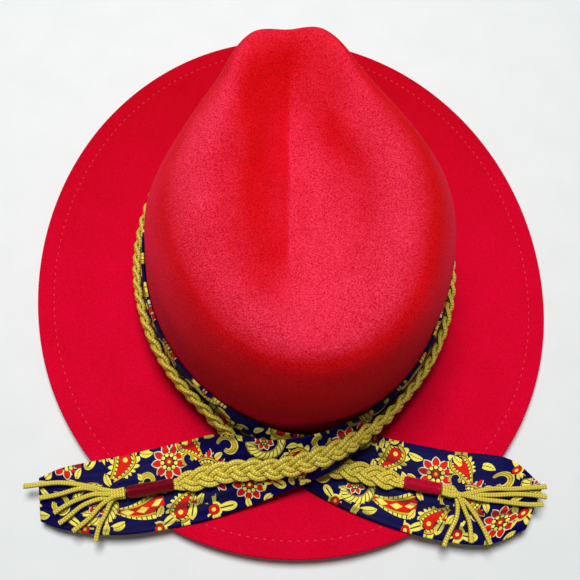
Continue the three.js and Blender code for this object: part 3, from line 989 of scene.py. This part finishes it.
# Three strands of two cords. A strand's middle swings across as reach*sin(phase) and up and down as
# lift*sin(2*phase), the three of them a third of a turn apart; its cords lie side by side, square to
# its own direction.
def plaitPiece(material):
    at = np.linspace(overRowAt(overEnds["braid"]), underRowAt(underEnds["braid"]), plait["readings"])
    middle, out = plaitPlace(at, plait["thick"] / 2)
    middle = runningMean(middle, plait["easeWidth"])
    out = unit(runningMean(out, plait["easeWidth"]))
    long = lengthAlong(middle)
    s = np.linspace(0, long[-1], int(long[-1] / plait["spacing"]) + 1)
    path = readAt(s, long, middle)
    up = unit(readAt(s, long, out))
    side = unit(np.cross(up, unit(np.gradient(path, axis=0))))
    cord = plait["cordWide"]
    reach = plait["wide"] / 2 - 2 * cord
    lift = plait["thick"] / 2 - plait["cordThick"]
    squeeze = smooth(s, 0, plait["gatherLong"]) * smooth(s[-1] - s, 0, plait["gatherLong"])

    # 1 along the plait and the given share at both ends
    def gathered(share):
        return share + (1 - share) * squeeze

    thin = gathered(plait["endCord"])
    parts = []
    for strand in range(plait["strands"]):
        phase = fullTurn * (s / plait["period"] + strand / plait["strands"])
        x = reach * np.sin(phase) * gathered(plait["endReach"])
        z = lift * np.sin(2 * phase) * gathered(plait["endLift"])
        centre = path + side * x[:, None] + up * z[:, None]
        way = unit(np.gradient(centre, axis=0))
        beside = unit(np.cross(up, way))
        above = unit(np.cross(way, beside))
        for sign in (-1, 1):
            line = centre + beside * (sign * cord * thin)[:, None]
            parts.append(tubeParts(line, beside, above, cord * plait["cordPress"] * thin,
                                   plait["cordThick"] * thin, plait["sides"]))
    points, quads, triangles, uv = joinParts(parts)
    return makePiece("plaited_cord", points, quads, triangles, material, uv)


# The two ends of a binding, which lies on the tail next to the end of the plait
def bindingEnds(rowAt, ends):
    at = np.array([rowAt(ends["braid"]), rowAt(ends["binding"])], float)
    both, _ = plaitPlace(at, binding["radius"])
    along = unit(both[1] - both[0])
    return both[0] + along * strip["gap"], both[1], along


# A wave of the given height, waves and start
def wave(shape, place):
    height, waves, start = shape
    return height * np.sin(place * waves + start)


# Thread wound round the cords: radius = body*(1 - taper at the ends) + ridge*|sin(pi*turns)|, with
# lumps that run round it and along it
def bindingPiece(name, rowAt, ends, material):
    start, stop, along = bindingEnds(rowAt, ends)
    long = np.linalg.norm(stop - start)
    turns = long / binding["pitch"]
    rows = int(turns * binding["ringsForTurn"]) + 1
    sides = binding["sides"]
    share = np.linspace(0, 1, rows)
    side, up = squareTo(along)
    whole = smooth(share, 0, binding["taperShare"]) * smooth(1 - share, 0, binding["taperShare"])
    taper = (1 - binding["taper"] * (1 - whole))[:, None]
    path = start + (stop - start) * share[:, None]
    turn = turnsOf(sides)
    ridge = binding["ridge"] * np.abs(np.sin(math.pi * (share[:, None] * turns + turn / fullTurn)))
    lump = wave(binding["lumpRound"], turn)[None] + wave(binding["lumpLong"], share)[:, None]
    radius = binding["radius"] * taper * binding["body"] + ridge + lump * taper
    points = ringPoints(path, side, up, radius * np.cos(turn), radius * np.sin(turn))
    uv = np.stack(np.broadcast_arrays((share * long * mm)[:, None], (turn / fullTurn)[None]), -1)
    points = np.concatenate([points.reshape(-1, 3), [start], [stop]])
    uv = np.concatenate([uv.reshape(-1, 2), [[0, 0.5]], [[long * mm, 0.5]]])
    return makePiece(name, points, gridFaces(rows, sides), endFans(rows, sides), material, uv)


# Six cords that leave the binding as one bundle and fan out; each path is a smooth curve over its
# chord lengths through the root, the head's end, its middle and its tip
def tasselPiece(name, rowAt, ends, cords, material):
    _, end, along = bindingEnds(rowAt, ends)
    root = end + along * (strip["gap"] + tassel["rootGap"])
    reach = tassel["headRadius"] * binding["radius"] - tassel["radius"] * tassel["press"]
    share = np.linspace(0, 1, tassel["points"])
    radius = tassel["radius"] * np.interp(share, tassel["radiusAt"], tassel["radiusShares"])
    side, _ = squareTo(along)
    parts = []
    for i, (mid, tip) in enumerate(cords):
        spread = (i / (len(cords) - 1) - 0.5) * 2 * reach
        start = root + side * spread + np.array([0, 0, tassel["rise"][i % 2]])
        stops = np.array([start, start + along * tassel["headLong"], mid, tip], float)
        chords = lengthAlong(stops)
        line = curveThrough(chords, stops, np.linspace(0, chords[-1], tassel["points"]))
        swing = np.sin(fullTurn * (tassel["swayTurns"] * share + tassel["swayShift"] * i))
        sway = tassel["sway"] * smooth(share, *tassel["swayFrom"]) * swing
        line[:, :2] += sway[:, None] * np.array([-(tip[1] - mid[1]), tip[0] - mid[0]]) / chords[-1]
        beside, above = squareTo(unit(np.gradient(line, axis=0)))
        parts.append(tubeParts(line, beside, above, radius, radius, plait["sides"], tassel["dome"]))
    points, quads, triangles, uv = joinParts(parts)
    return makePiece(name, points, quads, triangles, material, uv)


# Finishes

# two colours of each part of the felt, for the hollows and the tips of its grain
feltShades = {
    # the crown lit: pink painted sheen where it faces the painted light
    "paintedLit": (shade(196, 0, 22), shade(254, 64, 100)),
    # the crown shaded: painted shade in its dents and on its walls
    "paintedShaded": (shade(192, 0, 0), shade(246, 14, 30)),
    # the crown's side walls: a pinker copy, painted sheen where they are seen edge on
    "side": (shade(208, 0, 18), shade(250, 26, 58)),
    "rearBrim": (shade(202, 0, 24), shade(236, 0, 60)),
    # the brim shaded: painted shade that darkens it towards the front
    "shadedFrontBrim": (shade(176, 0, 6), shade(206, 0, 22)),
}


# Pairs are the ends of a range: heights above the floor and places along the hat in metres, or shares of the
# painted light. Grains are in noise cells for each metre.
feltLook = {
    "grain": 1350,
    "fineGrain": 3000,
    "clouds": 45,
    "tone": (0.4, 0.63),
    "crownFrom": (0.02, 0.05),
    "topFrom": (0.084, 0.098),
    # the lit copy is carried down the rear bend of the crown as a painted highlight
    "rearBend": (-0.1, -0.05),
    "rearLift": 0.22,
    "paintedLitFrom": (0.73, 0.985),
    # painted shade: less of the lit copy towards the front of the crown
    "frontFrom": (0.03, 0.09),
    "frontLess": 0.55,
    # painted shadow low on the rear wall of the crown, where its steep felt faces away from the light
    "rearShadeBelow": (0.034, 0.08),
    "rearShadeSteep": (0.08, 0.6),
    "rearShadeBehind": (-0.07, 0.0),
    "rearShadeShare": 0.72,
    "rearShade": shade(120, 0, 2),
    "sideFrom": (-0.085, -0.03),
    "brimFront": (0.0, 0.12),
    "brimShare": 0.7,
}


# Painted light and shade on the felt: a pink lit copy where the crown faces the painted light, a deep red
# shaded copy in its dents and on its walls, pinker side walls, a painted shadow low on the rear wall and a
# darker front brim
def feltFinish():
    f = Finish("red felt", Roughness=0.95, Sheen_Weight=0.3, Sheen_Roughness=0.35,
               Sheen_Tint=shade(255, 60, 100), Specular_IOR_Level=0.08)
    p = f.place()
    _, y, z = f.split(p)
    look = feltLook
    grain = f.noise(p, look["grain"], 2, 0.7)
    fine = f.noise(p, look["fineGrain"], 1, 0.5)
    cloud = f.noise(p, look["clouds"], 2, 0.5)
    tone = (grain * 0.6 + fine * 0.3 + cloud * 0.1).ramp(*look["tone"])
    tones = {part: f.mix(tone, *pair) for part, pair in feltShades.items()}
    # how far each point faces the painted light's way
    paintedLight = f.val(f.node("Attribute", {"attribute_name": "paintedLight"}), "Fac")
    crown = z.ramp(*look["crownFrom"])
    # painted highlight on the rear bend: the lit share is raised towards the back
    rearPaintedLight = paintedLight + (1 - y.ramp(*look["rearBend"])) * look["rearLift"]
    # painted shade towards the front of the crown
    front = y.ramp(*look["frontFrom"]) * look["frontLess"]
    # painted light: the lit copy where the crown faces the painted light's way
    paintedLit = crown * rearPaintedLight.ramp(*look["paintedLitFrom"]) * (1 - front)
    # painted shadow: darker low on the steep rear wall, just above the band
    low = 1 - z.ramp(*look["rearShadeBelow"])
    steep = 1 - paintedLight.ramp(*look["rearShadeSteep"])
    rearShade = low * crown * steep * (1 - y.ramp(*look["rearShadeBehind"])) * look["rearShadeShare"]
    # painted sheen on the side walls of the crown, not at the rear
    side = crown * (1 - z.ramp(*look["topFrom"])) * y.ramp(*look["sideFrom"])
    # painted shade: the brim darker towards the front
    brim = f.mix(y.ramp(*look["brimFront"]) * look["brimShare"], tones["rearBrim"], tones["shadedFrontBrim"])
    red = f.mix(side, f.mix(crown, brim, tones["paintedShaded"]), tones["side"])
    red = f.mix(rearShade, f.mix(paintedLit, red, tones["paintedLit"]), look["rearShade"])
    f.feed(Base_Color=red, Normal=f.bump(grain + fine * 0.5, 0.6, 0.0006))
    return f.material


printShades = {
    "navy": shade(9, 5, 74),
    "pale": shade(255, 243, 104),
    "gold": shade(228, 184, 16),
    "red": shade(228, 26, 10),
    "cream": shade(250, 238, 190),
    "black": shade(16, 12, 30),
}
printEdge = 0.2  # how soft the edge of a printed shape is, in millimetres


# The printed cloth. Every motif is drawn once, in its own axes in millimetres, from distances:
# a shape is where a distance is under 0, and later shapes cover earlier ones.
class Print:
    def __init__(self, finish):
        self.f = finish
        x, y, _ = finish.split(finish.uv("motif"))
        self.x, self.y = x * 1000, y * 1000
        self.kind = finish.split(finish.uv("kind"))[0] * kindScale
        self.r = (self.x * self.x + self.y * self.y).sqrt()
        self.turn = self.y.angle(self.x)
        self.ground = finish.mix(0.0, printShades["navy"], printShades["navy"])

    # lay shapes in turn, each a distance and its colour, over the part that "where" leaves free
    def lay(self, base, *shapes, where=1.0):
        for distance, colour in shapes:
            base = self.f.mix(distance.under(0.0, printEdge) * where, base, printShades[colour])
        return base

    # Petals round the middle: arc off the petal's middle line less wide*sin(pi*share of r0 to r1)^0.7
    def petals(self, r, turn, count, r0, r1, wide):
        sector = fullTurn / count
        arc = ((turn % sector - sector / 2) * r).abs()
        share = r.ramp(r0, r1)
        outside = (r - (r0 + r1) / 2).abs() - (r1 - r0) / 2
        return (arc - (share * math.pi).sin() ** 0.7 * wide).most(outside)

    # Beads on a ring: distance from the nearest bead's middle, less its radius
    def beads(self, r, turn, count, ringR, beadR):
        sector = fullTurn / count
        arc = (turn % sector - sector / 2) * ringR
        off = r - ringR
        return (arc * arc + off * off).sqrt() - beadR

    # A flower on a ground: lined petals, a dark heart with a ring of beads, and a gold middle
    def flower(self, ground, count, inner, outer, wide):
        r = self.r
        petal = self.petals(r, self.turn, count, inner, outer, wide)
        return self.lay(
            ground,
            (petal - 0.25, "cream"),
            (petal + 0.3, "black"),
            (petal + 0.5, "red"),
            (r - inner - 0.9, "black"),
            (self.beads(r, self.turn, count, inner + 0.1, 0.28 * inner), "pale"),
            (r - inner * 0.62, "gold"),
        )

    # A curled leaf whose radius grows as it turns, with ticks across it and a flower in its middle
    def scroll(self):
        way = self.turn % fullTurn
        off = (self.r - (way * 0.55 + 6.6)).abs()
        ends = way.ramp(0.15, 0.3) * way.under(5.8, 0.1)
        wide = 1.75 - way * 0.13
        tick = ((way * 7.6 + (self.r - way * 0.55) * 0.8) % 2.1 - 1.05).abs() - 0.24
        c = self.lay(
            self.ground,
            (off - wide - 0.5, "gold"),
            (off - wide - 0.22, "black"),
            (off - wide, "pale"),
            (tick.most(off - wide), "black"),
            where=ends,
        )
        return self.lay(self.flower(c, 8, 1.5, 4.7, 1.25), (self.r - 0.5, "red"))

    def daisy(self):
        c = self.flower(self.ground, 9, 3.1, 8.2, 1.9)
        return self.lay(c, (self.r - 1.9, "black"), (self.r - 1.65, "red"), (self.r - 0.7, "pale"))

    # Half a flower in rings, on a bent stem
    def fan(self):
        r = self.r
        petal = self.petals(r, self.turn, 17, 6.6, 11.8, 1.45)
        c = self.lay(
            self.ground,
            (petal - 0.2, "cream"),
            (petal + 0.25, "black"),
            (petal + 0.45, "red"),
            (r - 7.4, "black"),
            (r - 7.1, "gold"),
            (r - 6.3, "navy"),
            (self.beads(r, self.turn, 20, 5.3, 0.7), "pale"),
            (r - 4.3, "gold"),
            (r - 3.7, "black"),
            (r - 3.4, "pale"),
            (self.petals(r, self.turn, 9, 0.9, 3.1, 0.5), "red"),
            where=(self.y + 0.5) > 0,
        )
        stem = (self.x + 1.5 - self.y * self.y * 0.06).abs() - 0.5
        return self.lay(c, (stem.most(self.y + 0.6).most(-7.5 - self.y), "pale"))

    # A pear shape that bends over at its tip, with flames round it
    def drop(self):
        y = self.y + 3.6
        up = y.most(0.0)
        x = self.x - up * up * 0.04
        down = y.least(0.0)
        d = (x * x + down * down).sqrt() - (1.0 - (up / 12.5).least(1.0) ** 1.4) * 4.4
        flame = ((self.y + 0.5).angle(self.x) * 7.0).sin().abs()
        past = up - 12.0
        tick = ((y * 1.1 + x * 0.4) % 1.7 - 0.85).abs() - 0.55
        heart = (self.x * self.x + y * y).sqrt() - 1.0
        return self.lay(
            self.ground,
            ((d - flame * 2.1 - 0.2).most(up - 7.5), "pale"),
            ((d - 0.35).most(past), "black"),
            (d.most(past), "gold"),
            ((d + 0.7).most(past), "black"),
            (tick.most(d + 0.8).most(past), "pale"),
            ((d + 1.6).most(past), "black"),
            ((d + 1.8).most(past), "red"),
            (heart, "pale"),
        )

    # A long bent wedge in stripes, q being the share of the way from its middle line to its side
    def wedge(self):
        y = self.y + 11.0
        x = (self.x - (y - 11.0) * (y - 11.0) * 0.02).abs()
        wide = (1.0 - y / 27.0) * 7.6
        inside = (x - wide).most(-0.1 - y).most(y - 23.5)
        q = x / wide.most(0.1)
        tick = (y % 2.2 - 1.1).abs() - 0.26
        leaf = (y % 7.0 - 3.5).abs() * 0.5 + x - 1.5
        return self.lay(
            self.ground,
            (inside, "pale"),
            (inside.most(tick), "black"),
            (inside.most((q - 0.72) * 6.0), "black"),
            (inside.most((q - 0.68) * 6.0), "gold"),
            (inside.most((q - 0.5) * 6.0), "black"),
            (inside.most((q - 0.44) * 6.0), "red"),
            (inside.most(leaf), "pale"),
        )

    # Leaves that spread from one point, on a bent stem
    def sprig(self):
        y = self.y + 4.0
        r = (self.x * self.x + y * y).sqrt()
        off = y.angle(self.x) - math.pi / 2
        lobes = (off * 4.0).cos().most(0.0)
        d = (r - lobes ** 0.6 * 6.0 - 3.4).most((off.abs() - 1.9) * 3.0)
        vein = ((off * 4.0 / fullTurn + 0.5) % 1.0 - 0.5).abs() * r
        stem = (self.x - self.y * self.y * 0.05).abs() - 0.5
        return self.lay(
            self.ground,
            (d, "pale"),
            ((d + 0.9).abs() - 0.18, "gold"),
            ((vein - 0.2).most(d + 1.5).most(2.6 - r), "black"),
            (stem.most(self.y + 2.5).most(-7.5 - self.y), "pale"),
            (r - 2.3, "black"),
            (r - 2.0, "red"),
            (r - 0.8, "pale"),
        )

    # A small curl that is widest half way round
    def hook(self):
        way = self.turn % fullTurn
        off = (self.r - (way * 0.5 + 1.7)).abs()
        ends = way.ramp(0.1, 0.25) * way.under(5.4, 0.2)
        wide = 1.55 - (way - 2.4).abs() * 0.32
        vein = (off - wide * 0.5).abs() - 0.14
        return self.lay(self.ground, (off - wide, "pale"), (vein, "black"), (off - wide * 0.36, "gold"),
                        where=ends)

    # A leaf: distance from the nearer side of a pointed oval, veined down the middle
    def leaf(self):
        x = (self.x - self.y * self.y * 0.05).abs()
        d = x - (1.0 - (self.y / 4.1) ** 2.0) * 1.75
        slant = ((self.y - x * 0.8) % 1.3 - 0.65).abs() - 0.14
        vein = (x - 0.15).most(d + 0.6)
        return self.lay(self.ground, (d, "pale"), (vein, "black"), (slant.most(d + 0.45), "gold"))

    # every kind is drawn, in the order of kindReach, and the face's own kind is picked
    def colour(self):
        motifs = [getattr(self, kind)() for kind in kindReach]
        picked = motifs[0]
        for i, motif in enumerate(motifs[1:]):
            picked = self.f.mix(self.kind > (i + 0.5), picked, motif)
        return picked


def clothFinish():
    f = Finish("printed scarf cloth", Roughness=0.5, Specular_IOR_Level=0.06)
    u, v, _ = f.split(f.uv("surface"))
    twill = ((u + v) * 2600 % 1.0 - 0.5).abs()
    folds = f.noise(f.join(u * 14, v * 170), 1.0, 1)
    rumple = f.bump(folds, 0.3, 0.004)
    # painted shadow: the cloth goes towards black along the deep lines of its folds
    foldShade = (1 - folds.ramp(0.34, 0.46)) * 0.6
    colour = f.mix(foldShade, Print(f).colour(), printShades["black"])
    f.feed(Base_Color=colour, Normal=f.bump(twill, 0.25, 0.0002, Normal=rumple))
    return f.material


# Satin cord, knitted in rows of small V shapes: the height of a stitch is a wave of the place along
# the cord plus the distance from the nearest of its lengthwise lines
cordLook = {
    "lines": 6.0,
    "stitchLong": 0.0014,  # in metres
    "slant": 1.3,
    # painted shade for the cords' lower sides and the creases between them
    "creaseShade": shade(76, 48, 0),
    # painted shade in the grooves between the stitches
    "between": shade(160, 104, 0),
    # the gold in random patches; the palest end is a painted glint
    "satinAndGlints": (shade(252, 218, 10), shade(255, 255, 116)),
}


def cordFinish():
    f = Finish("gold cord", Roughness=0.3, Specular_IOR_Level=0.6)
    u, v, _ = f.split(f.uv("surface"))
    spread = (v * cordLook["lines"] % 1.0 - 0.5).abs()
    stitch = ((u / cordLook["stitchLong"] + spread * cordLook["slant"]) % 1.0 - 0.5).abs() * 2.0
    # crests of the stitches; the grooves between them get painted shade
    high = stitch.ramp(0.0, 0.5) * spread.ramp(-0.06, 0.12)
    patch = f.noise(f.uv("surface"), 210)
    # random patches of the gold, the palest ones painted glints
    satinAndGlints = f.mix(patch.ramp(0.36, 0.64), *cordLook["satinAndGlints"])
    # painted shade: the cords are darkest on their lower sides, on faces turned down and in the creases
    # between them
    facing = f.split(f.place("Normal"))[2]
    turn = v * fullTurn
    crease = turn.cos().abs().ramp(0.7, 1.0) * (1 - facing.ramp(0.25, 0.75))
    upper = turn.sin().ramp(-0.4, 0.5).most(facing.ramp(-0.05, 0.5)) * (1 - crease * 0.7)
    colour = f.mix(upper, cordLook["creaseShade"], f.mix(high, cordLook["between"], satinAndGlints))
    f.feed(Base_Color=colour, Normal=f.bump(high, 0.7, 0.0003))
    return f.material


# Wound thread: one strand for each turn, u being the length in metres and v the share of a turn
def threadFinish(name, dark, light):
    f = Finish(name, Roughness=0.28, Specular_IOR_Level=0.3)
    u, v, _ = f.split(f.uv("surface"))
    wound = (u * 1000 / binding["pitch"] + v) % 1.0
    strand = (wound - 0.5).abs() * 2.0
    patch = f.noise(f.uv("surface"), 420)
    # painted shade: each wound turn is lighter along its crest and darker where it meets the next
    colour = f.mix((1 - strand * strand) * patch.ramp(0.2, 0.75), dark, light)
    f.feed(Base_Color=colour, Normal=f.bump(1 - strand, 0.5, 0.0003))
    return f.material


def hemThread():
    f = Finish("red sewing thread", Roughness=0.5)
    f.feed(Base_Color=f.mix(f.noise(f.place(), 900), shade(208, 10, 38), shade(240, 56, 76)))
    return f.material


def paperFinish():
    f = Finish("pale paper", Roughness=0.85)
    grain = f.noise(f.place(), studio["paperGrain"])
    f.feed(Base_Color=f.mix(grain, shade(*studio["paperDark"]), shade(*studio["paperLight"])))
    return f.material


# The scene

makeCamera()
bpy.context.scene.view_settings.view_transform = "Standard"
makeLights()
half = studio["floorSize"] / 2
corners = np.array([(-half, -half, 0), (half, -half, 0), (half, half, 0), (-half, half, 0)]) / mm
floor = makePiece("floor", corners, np.array([(0, 1, 2, 3)]), np.zeros((0, 3), int), paperFinish())

felt = feltBody(feltFinish())
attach(felt, "root")
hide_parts("felt_body")
print("felt body made")

hem = hemStitching(hemThread())
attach(hem, "root")
print("hem stitched")

scarf = scarfPiece(clothFinish())
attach(scarf, "root")
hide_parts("scarf")
print("scarf made")

gold = cordFinish()
braid = plaitPiece(gold)
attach(braid, "root")
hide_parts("braid")
print("plait made")

for name, rowAt, ends, dark, light in (
    ("binding_left", overRowAt, overEnds, shade(64, 0, 10), shade(178, 0, 36)),
    ("binding_right", underRowAt, underEnds, shade(150, 0, 28), shade(250, 4, 72)),
):
    bar = bindingPiece(name + "_thread", rowAt, ends, threadFinish(name + " thread", dark, light))
    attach(bar, "root")
    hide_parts(name)
print("bindings wound")

for name, rowAt, ends, cords in (
    ("tassel_left", overRowAt, overEnds, overTassel),
    ("tassel_right", underRowAt, underEnds, underTassel),
):
    fringe = tasselPiece(name + "_cords", rowAt, ends, cords, gold)
    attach(fringe, "root")
    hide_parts(name)
print("tassels made")
